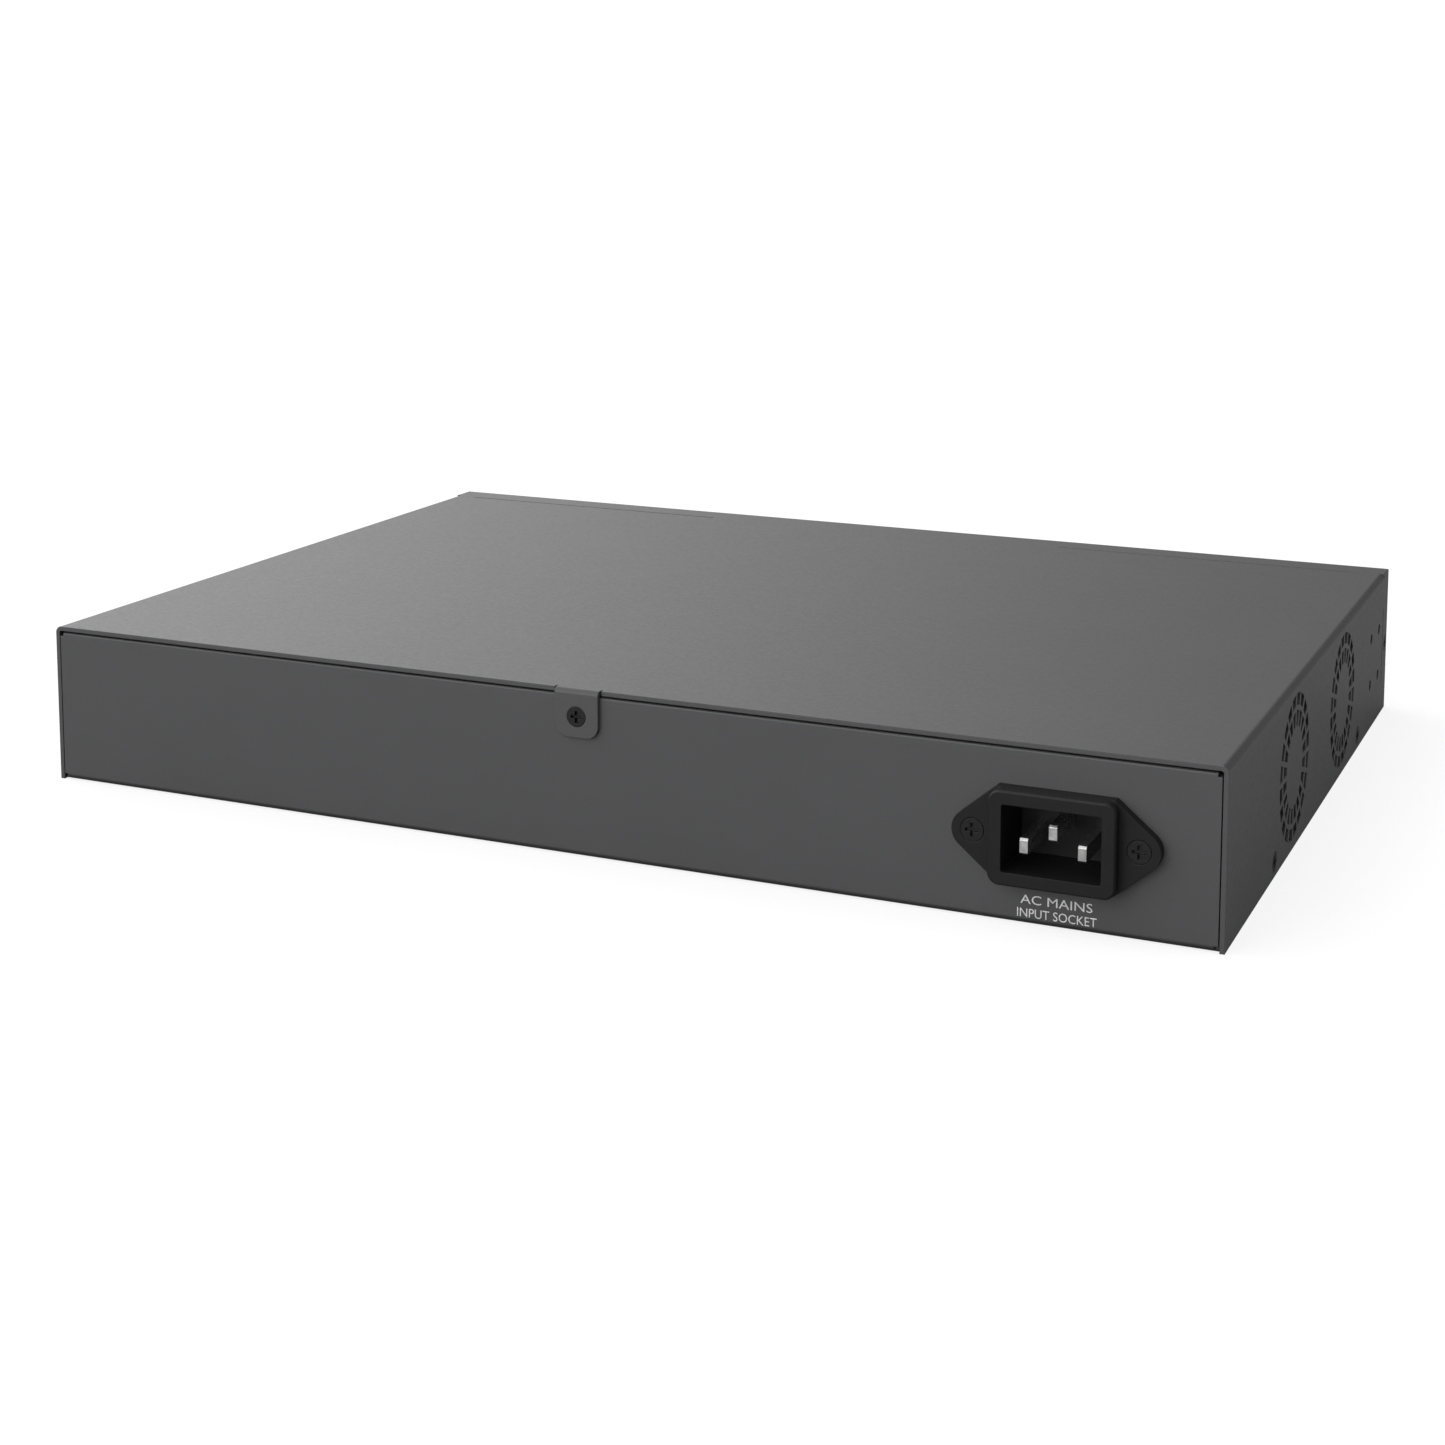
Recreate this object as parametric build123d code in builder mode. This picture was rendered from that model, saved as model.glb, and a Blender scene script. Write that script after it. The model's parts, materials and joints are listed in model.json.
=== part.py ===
from build123d import *
import os

os.makedirs("parts", exist_ok=True)

# A 13-inch wide, one-unit-high PoE network switch.
# +Z is up, the ports face -Y, the mains inlet faces +Y and the fans blow out at -X.
# The origin is the middle of the underside. All sizes are in millimetres.

# ---------------------------------------------------------------- case sizes
WIDTH = 330.0
DEPTH = 230.0
HEIGHT = 44.0
SIDE = WIDTH / 2
BACK = DEPTH / 2
FRONT = -BACK
SHEET = 1.2             # steel sheet of the cover, the tray and the front panel
BEND = 1.8              # outside radius of a bend
REAR_GAP = 0.5          # shadow gap between the cover and the top of the rear wall
REAR_SIDE_GAP = 0.3     # the same at the rear wall's ends
FRONT_GAP = 0.2         # gap between the cover and the front panel
SIDE_GAP = 0.1          # gap between the cover's sides and the tray's flanges
COVER_IN = SIDE - SHEET             # inner face of the cover's sides
WALL_IN = BACK - SHEET              # inner face of the rear wall
REAR_X = COVER_IN - REAR_SIDE_GAP        # half width of the rear wall
REAR_TOP = HEIGHT - SHEET - REAR_GAP
FLANGE_X = COVER_IN - SIDE_GAP      # outer face of the tray's side flanges
FLANGE_TOP = 8.0
RELIEF = 1.0            # bend relief notch at each corner of the rear wall
LOW_RELIEF_Z = 0.6      # the lower notches start this far above the underside
REAR_RETURN = 6.0       # stiffening return, bent inwards along the rear wall's top
REAR_RETURN_BEND = 0.5
SHARP_FRONT = 8.0       # the cover's corners are left sharp for this far behind its front edge
SHARP_BEND = 0.3
CORNER_NOTCH = 0.5      # width of the relief where the bend starts
CORNER_NOTCH_DEPTH = 1.0

# Front panel: a shallow box with returns that reach back inside the cover.
PANEL_X = COVER_IN - FRONT_GAP
PANEL_TOP = HEIGHT - SHEET - FRONT_GAP
PANEL_BACK = FRONT + SHEET
RETURN_BACK = FRONT + 14.0
EAR_RETURN_BACK = FRONT + 37.0      # side returns, long enough for the rack ears

# ---------------------------------------------------------------- joints in the sheet metal
SLIT = 0.7              # width of the slits that locate the front panel's tongues
TONGUE = 0.5
TOP_SLIT_Y = FRONT + 9.5
TOP_SLIT_LENGTH = 95.5
TOP_SLIT_X = 109.5      # middle of each top slit, either side of the centre
SIDE_SLIT_Y = FRONT + 8.3
SIDE_SLIT_LENGTH = 24.0
SIDE_SLIT_Z = 21.2
TONGUE_SUNK = 0.3       # how far a tongue's edge stays below the cover's surface

M3 = 1.5                # thread radius
M3_CLEAR = 1.7
FLAT_HEAD = 2.6         # radius of the flush heads that hold the cover
FLAT_SINK = 2.75        # radius of the countersinks they lie in
SIDE_SCREW_Y = (-64.5, 58.3)
SIDE_SCREW_Z = 4.0
EDGE_SCREW_Y = FRONT + 3.4
EDGE_SCREW_Z = 21.3
EAR_Y = (FRONT + 15.5, FRONT + 29.9)
EAR_Z = (13.9, 28.2)

TAB_X = 6.1             # half width of the tab that holds the cover to the rear wall
TAB_BOTTOM = 31.6
TAB_CORNER = 3.3
TAB_SCREW_Z = 36.9
TAB_NOTCH = 0.5         # kerf on either side of the tab

# ---------------------------------------------------------------- mains inlet
INLET_X = -125.5
INLET_Z = 22.2
INLET_SCREWS = 40.0
INLET_SOCKET = (24.0, 16.3)
INLET_RIM = (30.6, 22.8)
INLET_RIM_FACE = BACK + 6.0
INLET_FLANGE = 2.8
INLET_FLAT = 14.2       # half length of the flange's level edges
INLET_POINT = 27.9      # where its slanting edges would meet, before the ends are rounded
INLET_BODY = (27.0, 20.0)
INLET_BODY_BACK = BACK - 15.5
INLET_SOCKET_FLOOR = INLET_RIM_FACE - 17.0
PIN = (2.0, 4.0)
PIN_PITCH = 7.0
PIN_TIP = BACK + 4.0
PIN_PLACES = ((-PIN_PITCH, -2.0), (0.0, 2.0), (PIN_PITCH, -2.0))

# ---------------------------------------------------------------- fans
FAN_Y = {"rear": 35.0, "front": -36.0}
FAN_Z = 21.8
FAN_SIZE = 40.0
FAN_DEPTH = 20.0
FAN_HOLES = 32.0
FAN_BORE = 19.1
FAN_FACE = -(FLANGE_X - SHEET)      # outer face of both fans, on the tray's inner side
FAN_INNER = FAN_FACE + FAN_DEPTH
SHAFT = 1.5
SHAFT_FIT = 0.03
GRILLE_RINGS = ((19.2, 16.0), (14.7, 10.6))
GRILLE_BARS = 20
GRILLE_BAR = 1.35

# ---------------------------------------------------------------- boards and ports
BOARD = 1.6
MAIN_TOP = 8.0
PSU_TOP = 8.8
PORT_PITCH = 14.0
PORT_MIDDLE_Z = 21.5
PORT_ROW = 6.6          # rows lie this far above and below the middle
PORT_WIDTH = 11.9
PORT_HEIGHT = 8.2
PORT_DEPTH = 12.5
GANG_FACE = FRONT - 0.2
GANG_BACK = FRONT + 28.3
GANG_HALF_HEIGHT = 13.5
TIN = 0.3               # shield thickness
GANGS = {"left": (-58.0, 4), "right": (8.0, 4), "uplink": (66.0, 1)}
SFP_X = (100.0, 118.0)
SFP_WIDTH = 14.25
SFP_HEIGHT = 9.75
SFP_WALL = 0.4
SFP_BACK = FRONT + 48.0
LED_X = -142.0
LED_PITCH = 2.8
LED_ROWS = (13.0, 20.0)
BUTTON_Z = 11.5
MODE_X = -108.0
RESET_X = -120.0
SWITCH_FACE = FRONT + 6.0
BUTTON_END = SWITCH_FACE + 1.2

MAIN_SCREWS = ((-98, -96), (47, -96), (148, -96), (-130, -52), (-36, -20), (44, -20),
               (148, -20), (148, 50), (60, 50))
PSU_SCREWS = ((-128, 8), (10, 8), (10, 78), (-128, 78), (-50, 43))
PANEL_SCREWS = tuple((x, FRONT + 8.0) for x in (-150.0, -50.0, 50.0, 150.0))


# ---------------------------------------------------------------- helpers
def save(piece, name):
    """Label a finished piece and write its file."""
    piece.part.label = name
    export_step(piece.part, f"parts/{name}.step")


def block(x, y, z, mode=Mode.ADD):
    """Put a box between the low and high values of x, y and z into the open part."""
    spans = [(min(pair), max(pair)) for pair in (x, y, z)]
    with Locations(tuple((low + high) / 2 for low, high in spans)):
        Box(*[high - low for low, high in spans], mode=mode)


def both_sides(radius, y, z):
    """Cut a round hole through the left and the right side of the open part."""
    with Locations(Plane(origin=(0, y, z), x_dir=(0, 1, 0), z_dir=(1, 0, 0))):
        Cylinder(radius, WIDTH + 2 * SHEET, mode=Mode.SUBTRACT)


def sink_sides(y, z):
    """Countersink a hole for a flush screw into the left and the right side of the open part."""
    for side in (-1, 1):
        with Locations(Plane(origin=(side * SIDE, y, z), z_dir=(side, 0, 0))):
            CounterSinkHole(M3_CLEAR, FLAT_SINK, depth=SHEET, counter_sink_angle=90)


def save_group(name, piece, places):
    """Write copies of one piece as the separate solids of one node."""
    with BuildPart() as group:
        with Locations(*places):
            add(piece)
    save(group, name)


def cross_recess(top, radius, depth):
    """Cut a cross recess down from a height into the open part."""
    width = 0.3 * radius
    length = 1.2 * radius
    for long, wide in ((length, width), (width, length)):
        block((-long / 2, long / 2), (-wide / 2, wide / 2), (top - depth, top + 1), Mode.SUBTRACT)


def pan_screw(length, head=2.9, height=1.4):
    """A pan-head M3 screw with its head on +Z and its seat at the origin."""
    with BuildPart() as screw:
        Cylinder(head, height, align=(Align.CENTER, Align.CENTER, Align.MIN))
        fillet(screw.faces().sort_by(Axis.Z)[-1].edges(), 0.6 * height)
        Cylinder(M3, length, align=(Align.CENTER, Align.CENTER, Align.MAX))
        cross_recess(height, head, 1.1)
    return screw.part


def flat_screw(length, head=FLAT_HEAD):
    """A countersunk M3 screw whose flat head is level with the origin, facing +Z."""
    with BuildPart() as screw:
        with BuildSketch(Plane.XZ):
            with BuildLine():
                Polyline((0, 0), (head, 0), (head, -0.1), (M3, M3 - head - 0.1), (M3, -length),
                         (0, -length), close=True)
            make_face()
        revolve(axis=Axis.Z)
        cross_recess(0, head, 0.9)
    return screw.part


def hex_nut(across_flats, bore, height):
    """A hexagon nut that stands on the origin."""
    with BuildPart() as nut:
        with BuildSketch():
            RegularPolygon(across_flats / 2, 6, major_radius=False)
            Circle(bore, mode=Mode.SUBTRACT)
        extrude(amount=height)
    return nut.part


def standoff(height):
    """A pressed standoff: its shank fills a hole in the tray, its thread opens upwards."""
    with BuildPart() as post:
        Cylinder(2.1, SHEET, align=(Align.CENTER, Align.CENTER, Align.MIN))
        with Locations((0, 0, SHEET)):
            Cylinder(3.0, height - SHEET, align=(Align.CENTER, Align.CENTER, Align.MIN))
        with Locations((0, 0, height)):
            Cylinder(M3, height - SHEET, align=(Align.CENTER, Align.CENTER, Align.MAX),
                     mode=Mode.SUBTRACT)
    return post.part


def chip(side, height):
    """A square chip package with a pin-one dimple, standing on the origin."""
    with BuildPart() as package:
        Box(side, side, height, align=(Align.CENTER, Align.CENTER, Align.MIN))
        chamfer(package.faces().sort_by(Axis.Z)[-1].edges(), 0.15)
        with Locations((-0.38 * side, 0.38 * side, height)):
            Cylinder(0.5, 0.3, mode=Mode.SUBTRACT)
    return package.part


def heat_sink(side, height, fins):
    """An extruded heat sink with straight fins along Y, standing on the origin."""
    foot = 2.0
    with BuildPart() as sink:
        Box(side, side, foot, align=(Align.CENTER, Align.CENTER, Align.MIN))
        with GridLocations((side - 1) / (fins - 1), 0, fins, 1):
            Box(1.0, side, height, align=(Align.CENTER, Align.CENTER, Align.MIN))
    return sink.part


def can(radius, height):
    """An electrolytic capacitor can with a rolled-in groove near its foot."""
    with BuildPart() as body:
        Cylinder(radius, height, align=(Align.CENTER, Align.CENTER, Align.MIN))
        fillet(body.edges().filter_by(GeomType.CIRCLE), 0.1 * radius)
        with Locations((0, 0, 0.14 * height)):
            Torus(radius + 0.3, 0.7, mode=Mode.SUBTRACT)
    return body.part


def lead(points, bend, diameter):
    """An insulated wire along straight runs joined by tangent arcs."""
    with BuildPart() as wire:
        with BuildLine() as route:
            FilletPolyline(*points, radius=bend)
        with BuildSketch(Plane(origin=route.line @ 0, z_dir=route.line % 0)):
            Circle(diameter / 2)
        sweep()
    return wire.part


# ---------------------------------------------------------------- top cover
with BuildPart() as top_cover:
    with BuildSketch(Plane.XZ.offset(-BACK)) as section:
        with Locations((0, HEIGHT / 2)):
            Rectangle(WIDTH, HEIGHT)
        fillet(section.vertices().group_by(Axis.Y)[-1], BEND)
        with BuildLine():
            inner = FilletPolyline((-COVER_IN, 0), (-COVER_IN, HEIGHT - SHEET),
                                   (COVER_IN, HEIGHT - SHEET), (COVER_IN, 0), radius=BEND - SHEET)
            Line(inner @ 1, inner @ 0)
        make_face(mode=Mode.SUBTRACT)
    extrude(amount=DEPTH)

    # The front corners are closed and sharp, with a small relief where the bend starts.
    for side in (-1, 1):
        block((side * (SIDE - BEND), side * SIDE), (FRONT, FRONT + SHARP_FRONT),
              (HEIGHT - SHEET, HEIGHT))
        block((side * COVER_IN, side * SIDE), (FRONT, FRONT + SHARP_FRONT),
              (HEIGHT - BEND, HEIGHT))
    corners = top_cover.edges().filter_by(Axis.Y).filter_by(
        lambda edge: abs(edge.length - SHARP_FRONT) < 0.01 and edge.center().Z > HEIGHT - 0.01
        and abs(edge.center().X) > SIDE - 0.01)
    fillet(corners, SHARP_BEND)
    for side in (-1, 1):
        block((side * (SIDE - CORNER_NOTCH_DEPTH), side * SIDE),
              (FRONT + SHARP_FRONT, FRONT + SHARP_FRONT + CORNER_NOTCH),
              (HEIGHT - CORNER_NOTCH_DEPTH, HEIGHT), Mode.SUBTRACT)

    # The tab bends down from the middle of the rear edge and lies on the rear wall.
    with BuildSketch(Plane.XZ.offset(-BACK)) as tab:
        with Locations((0, (TAB_BOTTOM + HEIGHT) / 2)):
            Rectangle(2 * TAB_X, HEIGHT - TAB_BOTTOM)
        fillet(tab.vertices().group_by(Axis.Y)[0], TAB_CORNER)
    extrude(amount=-SHEET)
    root = top_cover.edges().filter_by(Axis.X).group_by(Axis.Y)[-1].sort_by(Axis.Z)[-1]
    fillet(root, SHEET)
    for side in (-1, 1):
        block((side * TAB_X, side * (TAB_X + TAB_NOTCH)), (WALL_IN, BACK),
              (HEIGHT - SHEET, HEIGHT), Mode.SUBTRACT)
    with Locations(Plane(origin=(0, BACK + SHEET, TAB_SCREW_Z), z_dir=(0, 1, 0))):
        CounterSinkHole(M3_CLEAR, FLAT_SINK, depth=SHEET, counter_sink_angle=90)

    # Slits that take the front panel's tongues.
    for side in (-1, 1):
        middle = side * TOP_SLIT_X
        block((middle - TOP_SLIT_LENGTH / 2, middle + TOP_SLIT_LENGTH / 2),
              (TOP_SLIT_Y - SLIT / 2, TOP_SLIT_Y + SLIT / 2),
              (HEIGHT - SHEET, HEIGHT), Mode.SUBTRACT)
        block((side * COVER_IN, side * SIDE), (SIDE_SLIT_Y - SLIT / 2, SIDE_SLIT_Y + SLIT / 2),
              (SIDE_SLIT_Z - SIDE_SLIT_LENGTH / 2, SIDE_SLIT_Z + SIDE_SLIT_LENGTH / 2),
              Mode.SUBTRACT)

    # Screw holes, and the four rack ear holes in each side.
    for y in SIDE_SCREW_Y:
        sink_sides(y, SIDE_SCREW_Z)
    sink_sides(EDGE_SCREW_Y, EDGE_SCREW_Z)
    for y in EAR_Y:
        for z in EAR_Z:
            both_sides(M3_CLEAR, y, z)

    # Two round exhaust grilles, each two rings of slots between radial bars.
    with BuildSketch(Plane.YZ.offset(-SIDE)):
        for y in FAN_Y.values():
            with Locations((y, FAN_Z)):
                for outer, inside in GRILLE_RINGS:
                    Circle(outer)
                    Circle(inside, mode=Mode.SUBTRACT)
                with PolarLocations(GRILLE_RINGS[0][0] - 4.5, GRILLE_BARS):
                    Rectangle(10.5, GRILLE_BAR, mode=Mode.SUBTRACT)
    extrude(amount=SHEET, mode=Mode.SUBTRACT)

    # Air inlet on the other side: two rows of upright slots.
    with BuildSketch(Plane.YZ.offset(COVER_IN)):
        with Locations((0, FAN_Z)):
            with GridLocations(5.0, 14.0, 25, 2):
                SlotOverall(10.0, 2.4, rotation=90)
    extrude(amount=SHEET, mode=Mode.SUBTRACT)
save(top_cover, "top_cover")

# ---------------------------------------------------------------- base tray
with BuildPart() as base_tray:
    # Bottom, rear wall and its top return are one bent sheet.
    with BuildSketch(Plane.YZ.offset(-REAR_X)) as section:
        with BuildLine():
            Polyline((FRONT, 0), (BACK, 0), (BACK, REAR_TOP), (WALL_IN - REAR_RETURN, REAR_TOP),
                     (WALL_IN - REAR_RETURN, REAR_TOP - SHEET), (WALL_IN, REAR_TOP - SHEET),
                     (WALL_IN, SHEET), (FRONT, SHEET), close=True)
        make_face()
        fillet(section.vertices().sort_by_distance((BACK, REAR_TOP))[0], REAR_RETURN_BEND)
        fillet(section.vertices().sort_by_distance((BACK, 0))[0], BEND)
        fillet(section.vertices().sort_by_distance((WALL_IN, SHEET))[0], BEND - SHEET)
    extrude(amount=2 * REAR_X)

    # Low flanges along both sides take the cover's screws.
    flange_front = EAR_RETURN_BACK + 4
    flange_back = WALL_IN - 1.5
    with BuildSketch(Plane.XZ.offset(-flange_back)) as section:
        with Locations((0, FLANGE_TOP / 2)):
            Rectangle(2 * FLANGE_X, FLANGE_TOP)
        fillet(section.vertices().group_by(Axis.Y)[0], BEND)
        with Locations((0, FLANGE_TOP / 2 + SHEET)):
            Rectangle(2 * (FLANGE_X - SHEET), FLANGE_TOP, mode=Mode.SUBTRACT)
    extrude(amount=flange_back - flange_front)

    # The fan wall rises from the flange on the exhaust side.
    wall_y = (FAN_Y["front"] - FAN_SIZE / 2 - 4, FAN_Y["rear"] + FAN_SIZE / 2 + 4)
    block((-FLANGE_X, FAN_FACE), wall_y, (FLANGE_TOP / 2, 41.0))
    with BuildSketch(Plane.YZ.offset(-FLANGE_X)):
        for y in FAN_Y.values():
            with Locations((y, FAN_Z)):
                Circle(FAN_BORE)
                with GridLocations(FAN_HOLES, FAN_HOLES, 2, 2):
                    Circle(M3)
    extrude(amount=SHEET, mode=Mode.SUBTRACT)

    # Rear wall: inlet cut-out, its screw holes and the tab screw's thread.
    with BuildSketch(Plane.XZ.offset(-BACK)):
        with Locations((INLET_X, INLET_Z)):
            RectangleRounded(INLET_BODY[0] + 0.4, INLET_BODY[1] + 0.4, 1.0)
            with GridLocations(INLET_SCREWS, 0, 2, 1):
                Circle(M3_CLEAR)
        with Locations((0, TAB_SCREW_Z)):
            Circle(M3)
    extrude(amount=SHEET, mode=Mode.SUBTRACT)

    # Bend reliefs at the rear wall's corners: the upper ones run through the return.
    for side in (-1, 1):
        notch = (side * (REAR_X - RELIEF), side * REAR_X)
        block(notch, (BACK - SHEET - REAR_RETURN, BACK), (REAR_TOP - RELIEF, REAR_TOP), Mode.SUBTRACT)
        block(notch, (WALL_IN, BACK), (LOW_RELIEF_Z, LOW_RELIEF_Z + RELIEF), Mode.SUBTRACT)

    for y in SIDE_SCREW_Y:
        both_sides(M3, y, SIDE_SCREW_Z)
    with Locations(*[(x, y, SHEET / 2) for x, y in MAIN_SCREWS + PSU_SCREWS]):
        Cylinder(2.1, SHEET, mode=Mode.SUBTRACT)
    with Locations(*[Plane(origin=(x, y, 0), z_dir=(0, 0, -1)) for x, y in PANEL_SCREWS]):
        CounterSinkHole(M3_CLEAR, 2.7, depth=SHEET, counter_sink_angle=90)
    with Locations((-148, 98, SHEET / 2)):
        Cylinder(2.0, SHEET, mode=Mode.SUBTRACT)
save(base_tray, "base_tray")

# ---------------------------------------------------------------- front panel
with BuildPart() as front_panel:
    block((-PANEL_X, PANEL_X), (FRONT, RETURN_BACK), (SHEET, PANEL_TOP))
    face_edges = front_panel.faces().sort_by(Axis.Y)[0].edges()
    fillet(face_edges, SHEET)
    block((-PANEL_X + SHEET, PANEL_X - SHEET), (PANEL_BACK, RETURN_BACK),
          (2 * SHEET, PANEL_TOP - SHEET), Mode.SUBTRACT)
    for side in (-1, 1):
        block((side * PANEL_X, side * (PANEL_X - SHEET)), (RETURN_BACK - 1, EAR_RETURN_BACK),
              (5.0, PANEL_TOP - 3))
        # Tongues that locate in the cover's slits.
        middle = side * TOP_SLIT_X
        length = TOP_SLIT_LENGTH - 0.6
        block((middle - length / 2, middle + length / 2),
              (TOP_SLIT_Y - TONGUE / 2, TOP_SLIT_Y + TONGUE / 2),
              (PANEL_TOP - SHEET / 2, HEIGHT - TONGUE_SUNK))
        length = SIDE_SLIT_LENGTH - 0.6
        block((side * (PANEL_X - SHEET / 2), side * (SIDE - TONGUE_SUNK)),
              (SIDE_SLIT_Y - TONGUE / 2, SIDE_SLIT_Y + TONGUE / 2),
              (SIDE_SLIT_Z - length / 2, SIDE_SLIT_Z + length / 2))
    both_sides(M3, EDGE_SCREW_Y, EDGE_SCREW_Z)
    for y in EAR_Y:
        for z in EAR_Z:
            both_sides(M3, y, z)

    # Cut-outs for the ports, the status lights and the buttons.
    with BuildSketch(Plane.XZ.offset(BACK)):
        for middle, columns in GANGS.values():
            with Locations((middle, PORT_MIDDLE_Z)):
                Rectangle(columns * PORT_PITCH + 2.8, 2 * GANG_HALF_HEIGHT + 0.4)
        for x in SFP_X:
            with Locations((x, MAIN_TOP + SFP_HEIGHT / 2)):
                Rectangle(SFP_WIDTH + 0.4, SFP_HEIGHT + 0.4)
        for z in LED_ROWS:
            with Locations((LED_X, z)):
                with GridLocations(LED_PITCH, 0, 10, 1):
                    Circle(1.1)
        with Locations((MODE_X, BUTTON_Z)):
            Circle(2.15)
        with Locations((RESET_X, BUTTON_Z)):
            Circle(1.0)
    extrude(amount=-SHEET, mode=Mode.SUBTRACT)
    with Locations(*[(x, y, 1.5 * SHEET) for x, y in PANEL_SCREWS]):
        Cylinder(M3, SHEET, mode=Mode.SUBTRACT)
save(front_panel, "front_panel")

# ---------------------------------------------------------------- case screws
side_places = []
edge_places = []
for side in (-1, 1):
    for y in SIDE_SCREW_Y:
        side_places.append(Plane(origin=(side * SIDE, y, SIDE_SCREW_Z), z_dir=(side, 0, 0)))
    edge_places.append(Plane(origin=(side * SIDE, EDGE_SCREW_Y, EDGE_SCREW_Z), z_dir=(side, 0, 0)))
save_group("cover_side_screws", flat_screw(5.0), side_places)
save_group("cover_front_screws", flat_screw(5.0), edge_places)
tab_place = Plane(origin=(0, BACK + SHEET, TAB_SCREW_Z), z_dir=(0, 1, 0))
save_group("cover_tab_screw", flat_screw(6.0), [tab_place])
under_places = [Plane(origin=(x, y, 0), z_dir=(0, 0, -1)) for x, y in PANEL_SCREWS]
save_group("front_panel_screws", flat_screw(3.0, head=2.5), under_places)

# ---------------------------------------------------------------- mains inlet
with BuildPart() as ac_inlet_housing:
    # Flange with rounded ends that carry the screws.
    half_rim = INLET_RIM[1] / 2
    with BuildSketch(Plane.XZ.offset(-BACK)) as flange:
        with BuildLine():
            corners = [(-INLET_FLAT, half_rim), (INLET_FLAT, half_rim), (INLET_POINT, 0),
                       (INLET_FLAT, -half_rim), (-INLET_FLAT, -half_rim), (-INLET_POINT, 0)]
            Polyline(*[(INLET_X + x, INLET_Z + z) for x, z in corners], close=True)
        make_face()
        fillet(flange.vertices().group_by(Axis.X)[0], 5.0)
        fillet(flange.vertices().group_by(Axis.X)[-1], 5.0)
        with Locations((INLET_X, INLET_Z)):
            with GridLocations(INLET_SCREWS, 0, 2, 1):
                Circle(M3_CLEAR, mode=Mode.SUBTRACT)
    extrude(amount=-INLET_FLANGE)
    with Locations(*[Plane(origin=(INLET_X + side * INLET_SCREWS / 2, BACK + INLET_FLANGE, INLET_Z),
                           z_dir=(0, 1, 0)) for side in (-1, 1)]):
        CounterSinkHole(M3_CLEAR, 3.0, depth=INLET_FLANGE, counter_sink_angle=90)
    # Raised rim round the socket.
    with BuildSketch(Plane.XZ.offset(-BACK)):
        with Locations((INLET_X, INLET_Z)):
            RectangleRounded(*INLET_RIM, 2.8)
    extrude(amount=-(INLET_RIM_FACE - BACK))
    rim = ac_inlet_housing.faces().sort_by(Axis.Y)[-1]
    chamfer(rim.edges(), 0.4)
    # Body behind the wall.
    with BuildSketch(Plane.XZ.offset(-BACK)):
        with Locations((INLET_X, INLET_Z)):
            RectangleRounded(*INLET_BODY, 0.8)
    extrude(amount=BACK - INLET_BODY_BACK)
    with BuildSketch(Plane.XZ.offset(-INLET_RIM_FACE)):
        with Locations((INLET_X, INLET_Z)):
            RectangleRounded(*INLET_SOCKET, 0.6)
    extrude(amount=INLET_RIM_FACE - INLET_SOCKET_FLOOR, mode=Mode.SUBTRACT)
    # Slots that hold the pins.
    with BuildSketch(Plane.XZ.offset(-INLET_SOCKET_FLOOR)):
        for x, z in PIN_PLACES:
            with Locations((INLET_X + x, INLET_Z + z)):
                Rectangle(*PIN)
    extrude(amount=INLET_SOCKET_FLOOR - INLET_BODY_BACK, mode=Mode.SUBTRACT)
save(ac_inlet_housing, "ac_inlet_housing")

with BuildPart() as pin:
    # One pin from its tip back to its solder tab, at the inlet's middle.
    block((-PIN[0] / 2, PIN[0] / 2), (INLET_BODY_BACK, PIN_TIP), (-PIN[1] / 2, PIN[1] / 2))
    chamfer(pin.faces().sort_by(Axis.Y)[-1].edges().filter_by(Axis.X), 0.5)
    block((-0.4, 0.4), (INLET_BODY_BACK - 9.0, INLET_BODY_BACK), (-3.1, 3.1))
save_group("ac_inlet_pins", pin.part, [(INLET_X + x, 0, INLET_Z + z) for x, z in PIN_PLACES])

inlet_screw_places = []
inlet_nut_places = []
for side in (-1, 1):
    x = INLET_X + side * INLET_SCREWS / 2
    inlet_screw_places.append(Plane(origin=(x, BACK + INLET_FLANGE, INLET_Z), z_dir=(0, 1, 0)))
    inlet_nut_places.append(Plane(origin=(x, WALL_IN, INLET_Z), z_dir=(0, -1, 0)))
save_group("ac_inlet_screws", flat_screw(8.0, head=2.8), inlet_screw_places)
save_group("ac_inlet_nuts", hex_nut(5.5, M3, 2.4), inlet_nut_places)

# ---------------------------------------------------------------- fans
# A fan is drawn with its air outlet at the origin and its axis along +Z.
HUB = 11.5
HUB_WALL = 1.9
HUB_TOP = 1.0
HUB_BOTTOM = 15.0
MOTOR_BASE = FAN_DEPTH - 2.0
TUBE = 3.2

with BuildPart() as fan_frame:
    with BuildSketch():
        RectangleRounded(FAN_SIZE, FAN_SIZE, 3.0)
        Circle(FAN_BORE, mode=Mode.SUBTRACT)
        with GridLocations(FAN_HOLES, FAN_HOLES, 2, 2):
            Circle(M3_CLEAR, mode=Mode.SUBTRACT)
    extrude(amount=FAN_DEPTH)
    with BuildSketch(Plane.XY.offset(MOTOR_BASE)):
        Circle(HUB)
        with PolarLocations((HUB + FAN_BORE) / 2, 4, start_angle=45):
            Rectangle(FAN_BORE - HUB + 2, 2.2)
    extrude(amount=FAN_DEPTH - MOTOR_BASE)
    with BuildSketch(Plane.XY.offset(5.0)):
        Circle(TUBE)
    extrude(amount=MOTOR_BASE - 5.0)
    with BuildSketch(Plane.XY.offset(5.0)):
        Circle(SHAFT + SHAFT_FIT)
    extrude(amount=MOTOR_BASE - 5.0, mode=Mode.SUBTRACT)

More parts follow.
